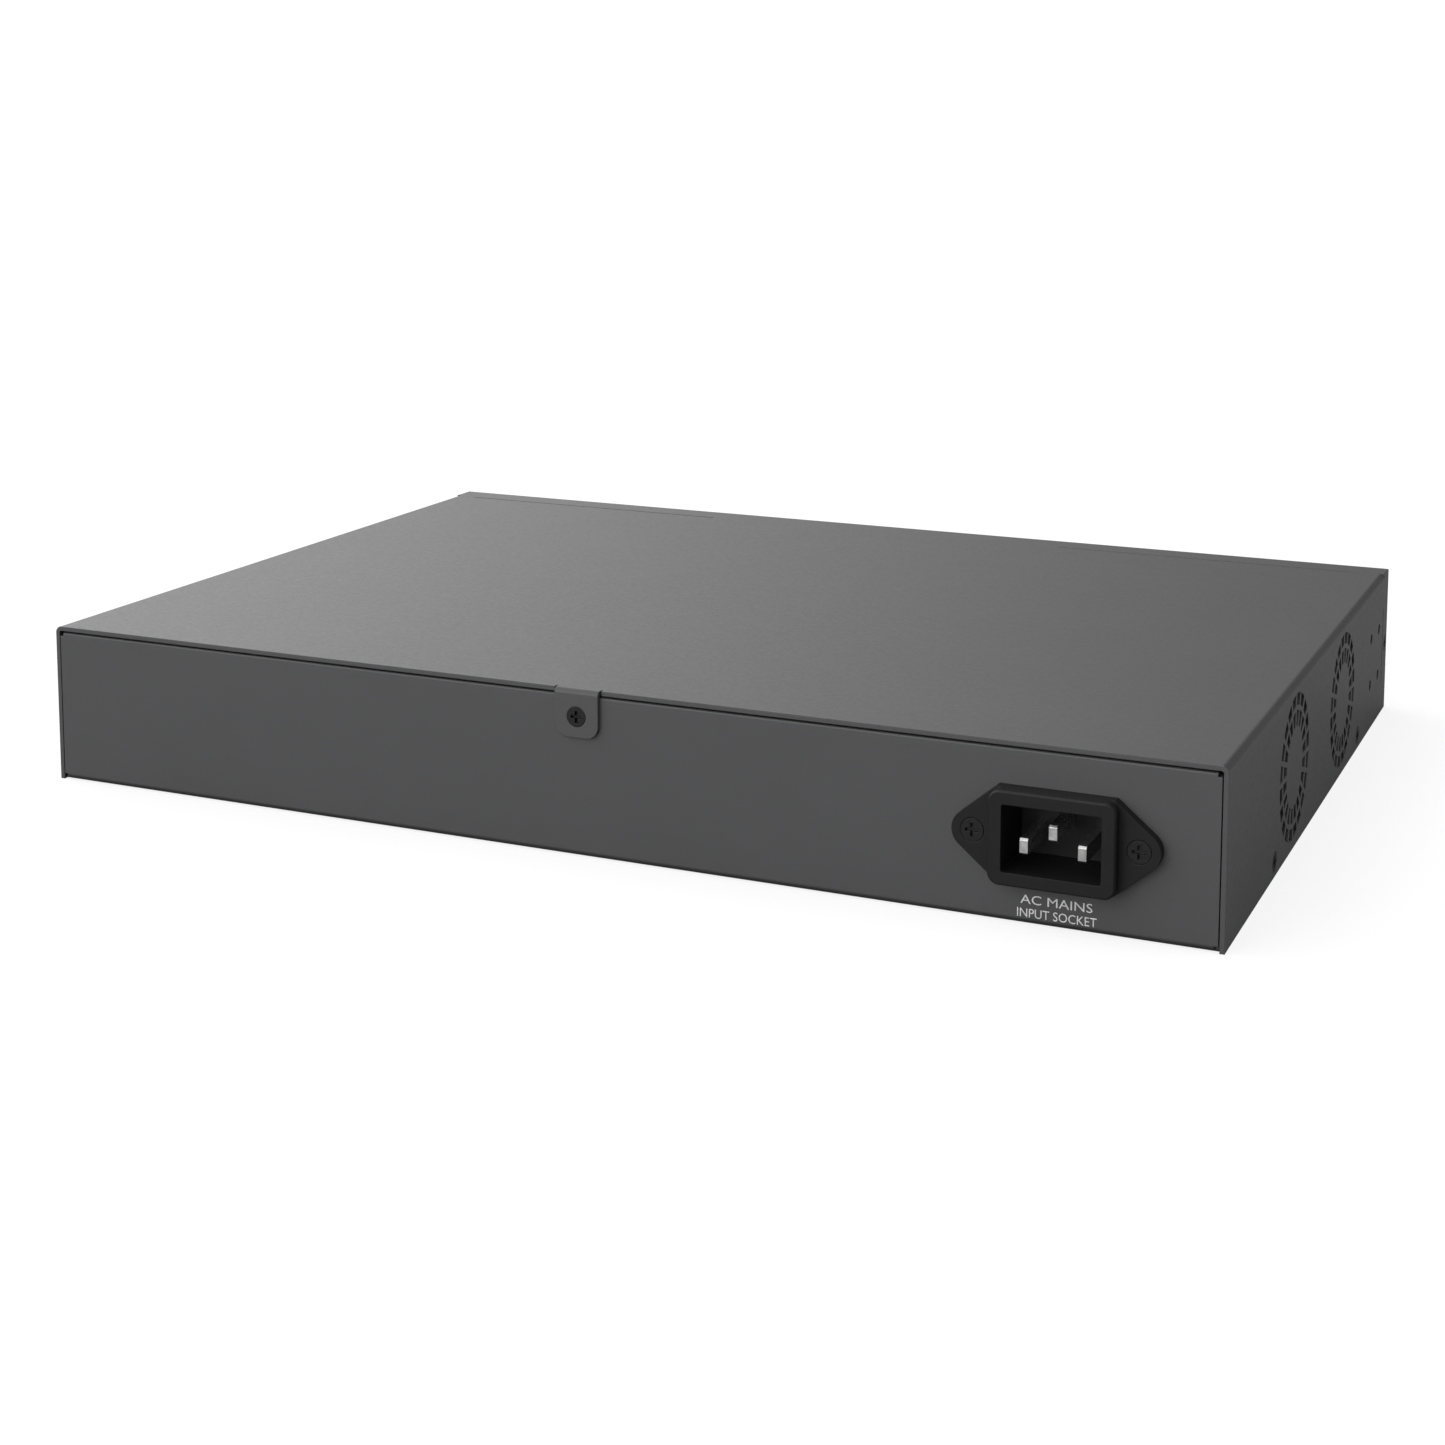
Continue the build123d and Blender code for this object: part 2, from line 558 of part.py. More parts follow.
with BuildPart() as fan_stator:
    with BuildSketch(Plane.XY.offset(7.0)):
        Circle(4.6)
        with PolarLocations(6.2, 4):
            Rectangle(3.6, 2.6)
        with PolarLocations(8.0, 4):
            Rectangle(1.6, 6.0)
        Circle(TUBE, mode=Mode.SUBTRACT)
    extrude(amount=7.0)

with BuildPart() as blade:
    for radius, pitch in ((HUB - 0.6, 48), (FAN_BORE - 0.6, 28)):
        plane = Plane(origin=(radius, 0, 8.0), x_dir=(0, 0, 1), z_dir=(1, 0, 0))
        with BuildSketch(plane):
            Ellipse(6.6, 0.7, rotation=pitch)
    loft()

with BuildPart() as fan_rotor:
    with BuildSketch(Plane.XY.offset(HUB_TOP)):
        Circle(HUB)
    extrude(amount=HUB_BOTTOM - HUB_TOP)
    with BuildSketch(Plane.XY.offset(HUB_TOP + 1.4)):
        Circle(HUB - HUB_WALL)
    extrude(amount=HUB_BOTTOM, mode=Mode.SUBTRACT)
    with BuildSketch(Plane.XY.offset(HUB_TOP + 1.0)):
        Circle(SHAFT)
    extrude(amount=MOTOR_BASE - 0.6 - HUB_TOP - 1.0)
    with PolarLocations(0, 7):
        add(blade.part)

fan_screw_places = []
for fan, y in FAN_Y.items():
    place = Plane(origin=(FAN_FACE, y, FAN_Z), x_dir=(0, 1, 0), z_dir=(1, 0, 0))
    save_group(f"{fan}_fan_frame", fan_frame.part, [place])
    save_group(f"{fan}_fan_stator", fan_stator.part, [place])
    save_group(f"{fan}_fan_rotor", fan_rotor.part, [place])
    for across in (-1, 1):
        for up in (-1, 1):
            corner = (FAN_INNER, y + across * FAN_HOLES / 2, FAN_Z + up * FAN_HOLES / 2)
            fan_screw_places.append(Plane(origin=corner, z_dir=(1, 0, 0)))
save_group("fan_screws", pan_screw(FAN_DEPTH + SHEET, head=2.7, height=1.6), fan_screw_places)

# ---------------------------------------------------------------- main board
with BuildPart() as main_board:
    with BuildSketch(Plane.XY.offset(MAIN_TOP - BOARD)):
        with BuildLine():
            Polyline((-158, FRONT + 2.5), (158, FRONT + 2.5), (158, 60), (28, 60), (28, -8),
                     (-138, -8), (-138, -62), (-158, -62), close=True)
        make_face()
        with Locations(*MAIN_SCREWS):
            Circle(M3_CLEAR, mode=Mode.SUBTRACT)
    extrude(amount=BOARD)
save(main_board, "main_board")
save_group("main_board_standoffs", standoff(MAIN_TOP - BOARD), MAIN_SCREWS)


# ---------------------------------------------------------------- copper ports
def port_places(gang):
    """Middles of a gang's ports and the side, +1 or -1, that each latch faces."""
    middle, columns = GANGS[gang]
    xs = [middle + (i - (columns - 1) / 2) * PORT_PITCH for i in range(columns)]
    return [(x, PORT_MIDDLE_Z + up * PORT_ROW, up) for x in xs for up in (-1, 1)]


def cut_ports(gang, margin, start, depth):
    """Cut a gang's port openings into the open part, from y = start back to start + depth."""
    steps = ((PORT_WIDTH, 0.0, PORT_HEIGHT / 2), (6.3, 0.0, PORT_HEIGHT / 2 + 1.4),
             (3.2, 0.0, PORT_HEIGHT / 2 + 2.2))
    for x, z, up in port_places(gang):
        for width, low, high in steps:
            block((x - width / 2 - margin, x + width / 2 + margin), (start, start + depth),
                  (z + up * low, z + up * (high + margin)), Mode.SUBTRACT)
        block((x - PORT_WIDTH / 2 - margin, x + PORT_WIDTH / 2 + margin), (start, start + depth),
              (z - up * (PORT_HEIGHT / 2 + margin), z + up * 0.1), Mode.SUBTRACT)


for gang, (middle, columns) in GANGS.items():
    half = columns * PORT_PITCH / 2 + 0.9
    with BuildPart() as housing:
        block((middle - half, middle + half), (GANG_FACE + TIN, GANG_BACK - TIN),
              (PORT_MIDDLE_Z - GANG_HALF_HEIGHT + TIN, PORT_MIDDLE_Z + GANG_HALF_HEIGHT - TIN))
        cut_ports(gang, 0.0, GANG_FACE + TIN, PORT_DEPTH)
    save(housing, f"{gang}_port_housing")

with BuildPart() as port_shields:
    for gang, (middle, columns) in GANGS.items():
        half = columns * PORT_PITCH / 2 + 0.9
        block((middle - half - TIN, middle + half + TIN), (GANG_FACE, GANG_BACK),
              (PORT_MIDDLE_Z - GANG_HALF_HEIGHT, PORT_MIDDLE_Z + GANG_HALF_HEIGHT))
        block((middle - half, middle + half), (GANG_FACE + TIN, GANG_BACK - TIN),
              (PORT_MIDDLE_Z - GANG_HALF_HEIGHT + TIN, PORT_MIDDLE_Z + GANG_HALF_HEIGHT - TIN),
              Mode.SUBTRACT)
        cut_ports(gang, 0.1, GANG_FACE, TIN)
save(port_shields, "port_shields")

# Eight sprung wires slope back into each port from the edge away from its latch.
CONTACT_PITCH = 1.02
CONTACT = 0.36
with BuildPart() as contact_comb:
    for i in range(8):
        with BuildSketch(Plane.YZ.offset((i - 3.5) * CONTACT_PITCH - CONTACT / 2)):
            with BuildLine():
                Polyline((FRONT + 4.0, 0), (FRONT + 4.6, 0), (FRONT + 11.0, 2.4),
                         (FRONT + 10.8, 2.7), close=True)
            make_face()
        extrude(amount=CONTACT)
comb_places = []
for gang in GANGS:
    for x, z, up in port_places(gang):
        floor = z - up * PORT_HEIGHT / 2
        comb_places.append(Plane(origin=(x, 0, floor), x_dir=(up, 0, 0), z_dir=(0, 0, up)))
save_group("port_contacts", contact_comb.part, comb_places)

# ---------------------------------------------------------------- fibre ports
with BuildPart() as sfp_cages:
    for x in SFP_X:
        block((x - SFP_WIDTH / 2, x + SFP_WIDTH / 2), (GANG_FACE, SFP_BACK),
              (MAIN_TOP, MAIN_TOP + SFP_HEIGHT))
        block((x - SFP_WIDTH / 2 + SFP_WALL, x + SFP_WIDTH / 2 - SFP_WALL),
              (GANG_FACE, SFP_BACK - SFP_WALL),
              (MAIN_TOP + SFP_WALL, MAIN_TOP + SFP_HEIGHT - SFP_WALL), Mode.SUBTRACT)
        with Locations((x, (GANG_FACE + SFP_BACK) / 2 + 4, MAIN_TOP + SFP_HEIGHT)):
            with GridLocations(3.2, 5.0, 3, 5):
                Cylinder(1.1, 2 * SFP_WALL + 0.1, mode=Mode.SUBTRACT)
save(sfp_cages, "sfp_cages")

with BuildPart() as sfp_socket:
    block((-5.6, 5.6), (-9.0, 0), (0, 6.4))
    block((-4.6, 4.6), (-9.0, -3.0), (2.6, 4.4), Mode.SUBTRACT)
save_group("sfp_sockets", sfp_socket.part,
           [(x, SFP_BACK - SFP_WALL, MAIN_TOP + SFP_WALL) for x in SFP_X])

# ---------------------------------------------------------------- status lights and buttons
with BuildPart() as led_holder:
    block((LED_X - 14.5, LED_X + 14.5), (FRONT + 2.5, FRONT + 10.5), (MAIN_TOP, 24.0))
    chamfer(led_holder.faces().sort_by(Axis.Z)[-1].edges(), 0.6)
save(led_holder, "led_holder")

with BuildPart() as status_leds:
    for z in LED_ROWS:
        with Locations(Plane(origin=(LED_X, FRONT + 2.5, z), x_dir=(1, 0, 0), z_dir=(0, -1, 0))):
            with GridLocations(LED_PITCH, 0, 10, 1):
                Cylinder(1.0, 2.8, align=(Align.CENTER, Align.CENTER, Align.MIN))
save(status_leds, "status_leds")

with BuildPart() as tact_switch:
    # Right-angle key switch with a bore for its plunger, at the board's edge.
    block((-3.1, 3.1), (SWITCH_FACE, SWITCH_FACE + 3.8), (MAIN_TOP, MAIN_TOP + 7.0))
    with Locations(Plane(origin=(0, SWITCH_FACE, BUTTON_Z), z_dir=(0, 1, 0))):
        Cylinder(1.6, 2 * 2.2, mode=Mode.SUBTRACT)
save_group("button_switches", tact_switch.part, [(MODE_X, 0, 0), (RESET_X, 0, 0)])

with BuildPart() as mode_button:
    with Locations(Plane(origin=(MODE_X, FRONT - 0.8, BUTTON_Z), z_dir=(0, 1, 0))):
        Cylinder(2.05, 4.0, align=(Align.CENTER, Align.CENTER, Align.MIN))
    fillet(mode_button.faces().sort_by(Axis.Y)[0].edges(), 0.4)
    with Locations(Plane(origin=(MODE_X, PANEL_BACK + 0.2, BUTTON_Z), z_dir=(0, 1, 0))):
        Cylinder(2.9, 0.8, align=(Align.CENTER, Align.CENTER, Align.MIN))
        Cylinder(1.5, BUTTON_END - PANEL_BACK - 0.2, align=(Align.CENTER, Align.CENTER, Align.MIN))
save(mode_button, "mode_button")

with BuildPart() as reset_button:
    with Locations(Plane(origin=(RESET_X, PANEL_BACK + 1.2, BUTTON_Z), z_dir=(0, 1, 0))):
        Cylinder(1.5, BUTTON_END - PANEL_BACK - 1.2, align=(Align.CENTER, Align.CENTER, Align.MIN))
    chamfer(reset_button.faces().sort_by(Axis.Y)[0].edges(), 0.3)
save(reset_button, "reset_button")

# ---------------------------------------------------------------- parts on the main board
SWITCH_AT = (8.0, -52.0)
PHY_AT = ((-58.0, -60.0), (72.0, -52.0))
POE_AT = ((84.0, 6.0), (84.0, 34.0), (118.0, 6.0), (118.0, 34.0))
save_group("switch_chip", chip(27.0, 2.2), [(*SWITCH_AT, MAIN_TOP)])
save_group("phy_chips", chip(20.0, 1.6), [(*at, MAIN_TOP) for at in PHY_AT])
save_group("poe_controllers", chip(12.0, 1.0), [(*at, MAIN_TOP) for at in POE_AT])
save_group("memory_chips", chip(9.0, 1.2), [(-20.0, -60.0, MAIN_TOP), (-20.0, -44.0, MAIN_TOP)])
save_group("switch_heat_sink", heat_sink(40.0, 14.0, 12), [(*SWITCH_AT, MAIN_TOP + 2.2)])
save_group("phy_heat_sinks", heat_sink(28.0, 10.0, 9), [(*at, MAIN_TOP + 1.6) for at in PHY_AT])

with BuildPart() as inductor:
    Box(12.5, 12.5, 7.0, align=(Align.CENTER, Align.CENTER, Align.MIN))
    fillet(inductor.edges().filter_by(Axis.Z), 1.5)
save_group("power_inductors", inductor.part, [(x, 20.0, MAIN_TOP) for x in (62.0, 101.0, 138.0)])
save_group("board_capacitors", can(4.0, 11.0),
           [(x, 50.0, MAIN_TOP) for x in (74.0, 86.0, 98.0, 110.0, 122.0)])

with BuildPart() as board_headers:
    block((38, 46), (28, 44), (MAIN_TOP, MAIN_TOP + 9.0))
    for y in (-24.0, -14.0):
        block((-132, -126), (y - 3, y + 3), (MAIN_TOP, MAIN_TOP + 6.5))
save(board_headers, "board_headers")

# ---------------------------------------------------------------- power supply
with BuildPart() as psu_insulator:
    with BuildSketch(Plane.XY.offset(SHEET)):
        with Locations((-59, 43)):
            Rectangle(154, 84)
        with Locations(*PSU_SCREWS):
            Circle(3.2, mode=Mode.SUBTRACT)
    extrude(amount=0.4)
save(psu_insulator, "psu_insulator")

with BuildPart() as psu_board:
    with BuildSketch(Plane.XY.offset(PSU_TOP - BOARD)):
        with Locations((-59, 43)):
            Rectangle(150, 82)
        with Locations(*PSU_SCREWS):
            Circle(M3_CLEAR, mode=Mode.SUBTRACT)
    extrude(amount=BOARD)
save(psu_board, "psu_board")
save_group("psu_standoffs", standoff(PSU_TOP - BOARD), PSU_SCREWS)
board_screw_places = [(x, y, MAIN_TOP) for x, y in MAIN_SCREWS]
board_screw_places += [(x, y, PSU_TOP) for x, y in PSU_SCREWS]
save_group("board_screws", pan_screw(5.0, height=1.7), board_screw_places)

with BuildPart() as psu_transformer:
    block((-34, 0), (48, 76), (PSU_TOP + 8, PSU_TOP + 20))
    block((-28, -6), (46, 78), (PSU_TOP, PSU_TOP + 28))
save(psu_transformer, "psu_transformer")

with BuildPart() as choke:
    Torus(7.5, 4.5, rotation=(90, 0, 0))
    Box(20, 9, 2.5)
    with Locations((0, 0, -11.0)):
        Box(20, 10, 4.0)
save_group("psu_chokes", choke.part, [(-118, 56, PSU_TOP + 13), (-118, 34, PSU_TOP + 13)])

save_group("psu_bulk_capacitors", can(11.0, 30.0), [(-66, 68, PSU_TOP), (-66, 20, PSU_TOP)])
save_group("psu_output_capacitors", can(5.0, 20.0),
           [(x, y, PSU_TOP) for x in (-22, -9) for y in (12, 25)])

with BuildPart() as fin_plate:
    # Upright plate with fins, the switching transistors' heat sink.
    block((-1.5, 1.5), (-30, 30), (0, 26))
    for i in range(9):
        y = -28 + 7 * i
        block((1.5, 6.0), (y - 0.5, y + 0.5), (2, 26))
save_group("psu_heat_sinks", fin_plate.part, [(-90, 43, PSU_TOP), (-42, 43, PSU_TOP)])

with BuildPart() as transistor:
    block((-4.6, 0), (-5, 5), (4, 20))
    block((-2.6, -2.0), (-3.2, -2.4), (0, 4))
    block((-2.6, -2.0), (2.4, 3.2), (0, 4))
save_group("psu_transistors", transistor.part,
           [(x, y, PSU_TOP) for x in (-91.5, -43.5) for y in (28, 43, 58)])

with BuildPart() as psu_headers:
    block((-112, -104), (64, 81), (PSU_TOP, PSU_TOP + 15))
    block((8, 16), (28, 44), (PSU_TOP, PSU_TOP + 9))
save(psu_headers, "psu_headers")

with BuildPart() as psu_fuse:
    with Locations(Plane(origin=(-101, 46, PSU_TOP + 3.2), z_dir=(0, 1, 0))):
        Cylinder(2.6, 20.0)
    for y in (37.5, 54.5):
        block((-103, -99), (y - 1.5, y + 1.5), (PSU_TOP, PSU_TOP + 3))
save(psu_fuse, "psu_fuse")

# ---------------------------------------------------------------- wiring inside the case
TERMINAL_Y = INLET_BODY_BACK - 9.0
PIN_LOW = INLET_Z - 2.0
PIN_HIGH = INLET_Z + 2.0
MAINS_WIRE = 2.4

with BuildPart() as mains_leads:
    add(lead([(INLET_X - PIN_PITCH, TERMINAL_Y, PIN_LOW), (INLET_X - PIN_PITCH, 69, PIN_LOW),
              (-112, 69, PIN_LOW)], 8.0, MAINS_WIRE))
    add(lead([(INLET_X + PIN_PITCH, TERMINAL_Y, PIN_LOW), (INLET_X + PIN_PITCH, 77, PIN_LOW),
              (-112, 77, PIN_LOW)], 5.0, MAINS_WIRE))
save(mains_leads, "mains_leads")

earth_lead = lead([(INLET_X, TERMINAL_Y, PIN_HIGH), (INLET_X, 83, PIN_HIGH), (-148, 83, PIN_HIGH),
                   (-148, 83, 4.0), (-148, 92, 4.0)], 3.2, MAINS_WIRE)
save_group("earth_lead", earth_lead, [(0, 0, 0)])

with BuildPart() as earth_stud:
    with Locations((-148, 98, 0)):
        Cylinder(2.0, 11.0, align=(Align.CENTER, Align.CENTER, Align.MIN))
save(earth_stud, "earth_stud")

with BuildPart() as earth_lug:
    with BuildSketch(Plane.XY.offset(SHEET)):
        with Locations((-148, 98)):
            Circle(4.2)
        with Locations((-148, 94)):
            Rectangle(3.4, 4.0)
        with Locations((-148, 98)):
            Circle(2.0, mode=Mode.SUBTRACT)
    extrude(amount=1.0)
    block((-149.8, -146.2), (89.8, 92.0), (SHEET + 1.0, 5.8))
    block((-149.8, -146.2), (92.0, 93.0), (SHEET, 5.8))
    with Locations(Plane(origin=(-148, 92, 4.0), z_dir=(0, -1, 0))):
        Cylinder(MAINS_WIRE / 2, 3.0, align=(Align.CENTER, Align.CENTER, Align.MIN),
                 mode=Mode.SUBTRACT)
save(earth_lug, "earth_lug")
save_group("earth_nut", hex_nut(7.0, 2.0, 3.2), [(-148, 98, SHEET + 1.0)])

with BuildPart() as dc_leads:
    for i in range(4):
        y = 30.0 + 4.0 * i
        add(lead([(16, y, 13.5), (20, y, 13.5), (24, y, 18.0), (30, y, 18.0), (34, y, 13.5),
                  (38, y, 13.5)], 2.5, 1.8))
save(dc_leads, "dc_leads")

with BuildPart() as fan_leads:
    add(lead([(FAN_INNER, -24, 12), (-139.5, -24, 12), (-135.5, -24, 15), (-134.2, -24, 12),
              (-132, -24, 12)], 0.6, 1.6))
    add(lead([(FAN_INNER, 21, 12), (-138, 21, 12), (-138, -14, 12), (-132, -14, 12)], 3.5, 1.6))
save(fan_leads, "fan_leads")
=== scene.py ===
import json
import math
import bpy
from mathutils import Euler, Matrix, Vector


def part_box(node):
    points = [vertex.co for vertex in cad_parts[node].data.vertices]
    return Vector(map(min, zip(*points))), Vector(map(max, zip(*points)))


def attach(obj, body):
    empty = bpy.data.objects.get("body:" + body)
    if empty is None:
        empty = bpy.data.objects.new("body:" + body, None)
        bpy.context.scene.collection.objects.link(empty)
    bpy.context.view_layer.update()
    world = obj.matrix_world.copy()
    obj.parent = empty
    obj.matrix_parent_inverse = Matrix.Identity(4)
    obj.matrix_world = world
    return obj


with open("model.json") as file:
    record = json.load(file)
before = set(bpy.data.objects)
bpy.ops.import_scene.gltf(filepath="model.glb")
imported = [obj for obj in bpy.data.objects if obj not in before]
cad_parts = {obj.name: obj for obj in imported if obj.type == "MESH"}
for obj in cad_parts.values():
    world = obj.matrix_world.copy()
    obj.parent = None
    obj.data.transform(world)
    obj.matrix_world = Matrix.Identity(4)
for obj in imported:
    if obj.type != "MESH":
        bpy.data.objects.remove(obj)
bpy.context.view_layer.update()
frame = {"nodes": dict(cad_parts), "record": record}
nodes = frame["nodes"]
MM = 0.001

# ---------------------------------------------------------------- camera
# The camera stands behind the case, off to the side of the fans, and looks slightly down.
CAMERA_PLACE = Vector((-0.2739, 0.6386, 0.2024))
CAMERA_HEADING = math.radians(155.93)       # from +Y towards +X
CAMERA_DIP = math.radians(7.24)
SENSOR_WIDTH = 36.0                         # mm
CAMERA_LENS = 59.6                          # mm
CAMERA_SHIFT = -0.25                        # the horizon lies above the middle of the view


def make_camera():
    """The photograph's viewing angle."""
    data = bpy.data.cameras.new("camera")
    data.lens = CAMERA_LENS
    data.sensor_width = SENSOR_WIDTH
    data.shift_y = CAMERA_SHIFT
    data.clip_start = 0.01
    data.clip_end = 50.0
    camera = bpy.data.objects.new("camera", data)
    camera.location = CAMERA_PLACE
    camera.rotation_euler = Euler((math.pi / 2 - CAMERA_DIP, 0.0, -CAMERA_HEADING))
    bpy.context.scene.collection.objects.link(camera)
    bpy.context.scene.camera = camera


# ---------------------------------------------------------------- light
# The studio is dim on one side and bright on the other, so the top fades from light to dark.
STUDIO_DIM = 0.22
STUDIO_BRIGHT = 2.3
STUDIO_FROM = 0.09          # the X of the direction where the brightening starts
STUDIO_TO = 0.90            # and where it is complete
BACKGROUND = 1.05           # what the camera itself sees behind the object

# Soft boxes that face the origin: place in metres, side in metres, power in watts.
SOFT_BOXES = {
    "overhead": ((0.25, 0.2, 1.5), 2.4, 13.0),
    "behind_camera": ((0.3, 2.6, 0.9), 2.6, 52.0),
    "exhaust_side": ((-2.0, -0.5, 0.9), 1.6, 19.5),
}

FLOOR_REACH = 12.0
FLOOR_GREY = (0.20, 0.22)           # darkest and lightest patch
FLOOR_CORNERS = ((-1, -1), (1, -1), (1, 1), (-1, 1))
FLOOR_GLOW = (0.80, 0.94)           # near the object and far from it
FLOOR_GLOW_BETWEEN = (0.3, 1.6)     # distances over which the glow changes


def make_lights():
    """Wide soft boxes overhead, behind the camera and off the exhaust side."""
    for name, (place, size, power) in SOFT_BOXES.items():
        data = bpy.data.lights.new(name, "AREA")
        data.shape = "SQUARE"
        data.size = size
        data.energy = power
        light = bpy.data.objects.new(name, data)
        light.location = place
        light.rotation_euler = (-Vector(place)).to_track_quat("-Z", "Y").to_euler()
        bpy.context.scene.collection.objects.link(light)


def make_world():
    """White behind the object; a dimmer studio, brighter to one side, lights it."""
    world = bpy.data.worlds.new("studio")
    bpy.context.scene.world = world
    world.use_nodes = True
    tree = world.node_tree
    tree.nodes.clear()
    out = tree.nodes.new("ShaderNodeOutputWorld")
    mix = tree.nodes.new("ShaderNodeMixShader")
    seen = tree.nodes.new("ShaderNodeBackground")
    seen.inputs["Color"].default_value = (1.0, 1.0, 1.0, 1.0)
    seen.inputs["Strength"].default_value = BACKGROUND
    studio = tree.nodes.new("ShaderNodeBackground")
    path = tree.nodes.new("ShaderNodeLightPath")
    place = tree.nodes.new("ShaderNodeTexCoord")
    split = tree.nodes.new("ShaderNodeSeparateXYZ")
    ramp = tree.nodes.new("ShaderNodeValToRGB")
    ramp.color_ramp.elements[0].position = 0.0
    ramp.color_ramp.elements[0].color = (STUDIO_DIM, STUDIO_DIM, STUDIO_DIM, 1.0)
    ramp.color_ramp.elements[1].position = 1.0
    ramp.color_ramp.elements[1].color = (STUDIO_BRIGHT, STUDIO_BRIGHT, STUDIO_BRIGHT, 1.0)
    widen = tree.nodes.new("ShaderNodeMapRange")
    widen.inputs["From Min"].default_value = STUDIO_FROM
    widen.inputs["From Max"].default_value = STUDIO_TO
    widen.interpolation_type = "SMOOTHSTEP"
    link = tree.links.new
    link(place.outputs["Generated"], split.inputs["Vector"])
    link(split.outputs["X"], widen.inputs["Value"])
    link(widen.outputs["Result"], ramp.inputs["Fac"])
    link(ramp.outputs["Color"], studio.inputs["Color"])
    link(path.outputs["Is Camera Ray"], mix.inputs["Fac"])
    link(studio.outputs["Background"], mix.inputs[1])
    link(seen.outputs["Background"], mix.inputs[2])
    link(mix.outputs["Shader"], out.inputs["Surface"])


def make_floor():
    """A plain floor that looks white, as the background does, but throws little light back."""
    mesh = bpy.data.meshes.new("floor")
    corners = [(x * FLOOR_REACH, y * FLOOR_REACH, 0) for x, y in FLOOR_CORNERS]
    mesh.from_pydata(corners, [], [(0, 1, 2, 3)])
    floor = bpy.data.objects.new("floor", mesh)
    floor.location.z = -0.1 * MM
    bpy.context.scene.collection.objects.link(floor)
    mat, tree, shader = new_material("floor_white")
    shader.inputs["Roughness"].default_value = 0.9
    shader.inputs["Specular IOR Level"].default_value = 0.1
    dark, light = FLOOR_GREY
    tint = ramp_between(tree, noise(tree, 3.0, 2.0), (dark, dark, dark), (light, light, light))
    tree.links.new(tint, shader.inputs["Base Color"])
    distance = tree.nodes.new("ShaderNodeVectorMath")
    distance.operation = "LENGTH"
    tree.links.new(object_place(tree), distance.inputs[0])
    strength = map_range(tree, distance.outputs["Value"], FLOOR_GLOW_BETWEEN, FLOOR_GLOW)
    seen = tree.nodes.new("ShaderNodeLightPath").outputs["Is Camera Ray"]
    glow = calculate(tree, "MULTIPLY", seen, strength)
    tree.links.new(glow, shader.inputs["Emission Strength"])
    shader.inputs["Emission Color"].default_value = (1.0, 1.0, 1.0, 1.0)
    mesh.materials.append(mat)


# ---------------------------------------------------------------- material helpers
NOISE_SPAN = (0.3, 0.7)             # nearly all of a noise texture's values
EDGE_HIGHLIGHT_COSINES = (0.98, 0.80)         # of the eased normal's turn, from plain face to the edge with the full painted highlight
BEND_SHADE_COSINES = (0.998, 0.93)        # the normal's largest part as the sheet starts to bend, where the painted bend shade begins
BEVEL_SAMPLES = 6


def new_material(name):
    """A material with nodes, its tree and its shader."""
    mat = bpy.data.materials.new(name)
    mat.use_nodes = True
    tree = mat.node_tree
    return mat, tree, tree.nodes["Principled BSDF"]


def object_place(tree, scale=(1.0, 1.0, 1.0)):
    """Object coordinates in metres, stretched by scale."""
    place = tree.nodes.new("ShaderNodeTexCoord")
    stretch = tree.nodes.new("ShaderNodeMapping")
    stretch.inputs["Scale"].default_value = scale
    tree.links.new(place.outputs["Object"], stretch.inputs["Vector"])
    return stretch.outputs["Vector"]


def noise(tree, grains_per_metre, detail, scale=(1.0, 1.0, 1.0)):
    """Noise with about so many grains to the metre."""
    node = tree.nodes.new("ShaderNodeTexNoise")
    node.inputs["Scale"].default_value = grains_per_metre
    node.inputs["Detail"].default_value = detail
    tree.links.new(object_place(tree, scale), node.inputs["Vector"])
    return node.outputs["Fac"]


def ramp_between(tree, value, low, high, start=0.35, end=0.65):
    """Blend two colours as a value goes from start to end."""
    node = tree.nodes.new("ShaderNodeValToRGB")
    node.color_ramp.elements[0].position = start
    node.color_ramp.elements[0].color = (*low, 1.0)
    node.color_ramp.elements[1].position = end
    node.color_ramp.elements[1].color = (*high, 1.0)
    tree.links.new(value, node.inputs["Fac"])
    return node.outputs["Color"]


def map_range(tree, value, source, target=(0.0, 1.0)):
    """Map a value from one range to another and keep it inside that."""
    node = tree.nodes.new("ShaderNodeMapRange")
    node.inputs["From Min"].default_value = source[0]
    node.inputs["From Max"].default_value = source[1]
    node.inputs["To Min"].default_value = target[0]
    node.inputs["To Max"].default_value = target[1]
    tree.links.new(value, node.inputs["Value"])
    return node.outputs["Result"]


def calculate(tree, operation, first, second):
    """One sum on a socket and a second socket or a plain number."""
    node = tree.nodes.new("ShaderNodeMath")
    node.operation = operation
    tree.links.new(first, node.inputs[0])
    if isinstance(second, float):
        node.inputs[1].default_value = second
    else:
        tree.links.new(second, node.inputs[1])
    return node.outputs["Value"]


def face_direction(tree, operation=None):
    """The X, Y and Z of the surface's own normal, or of their sizes with "ABSOLUTE"."""
    direction = tree.nodes.new("ShaderNodeNewGeometry").outputs["Normal"]
    if operation:
        node = tree.nodes.new("ShaderNodeVectorMath")
        node.operation = operation
        tree.links.new(direction, node.inputs[0])
        direction = node.outputs["Vector"]
    split = tree.nodes.new("ShaderNodeSeparateXYZ")
    tree.links.new(direction, split.inputs["Vector"])
    return split.outputs["X"], split.outputs["Y"], split.outputs["Z"]


def vary_roughness(tree, shader, value, low, high):
    """Let the roughness wander between low and high with a noise value."""
    tree.links.new(map_range(tree, value, NOISE_SPAN, (low, high)), shader.inputs["Roughness"])


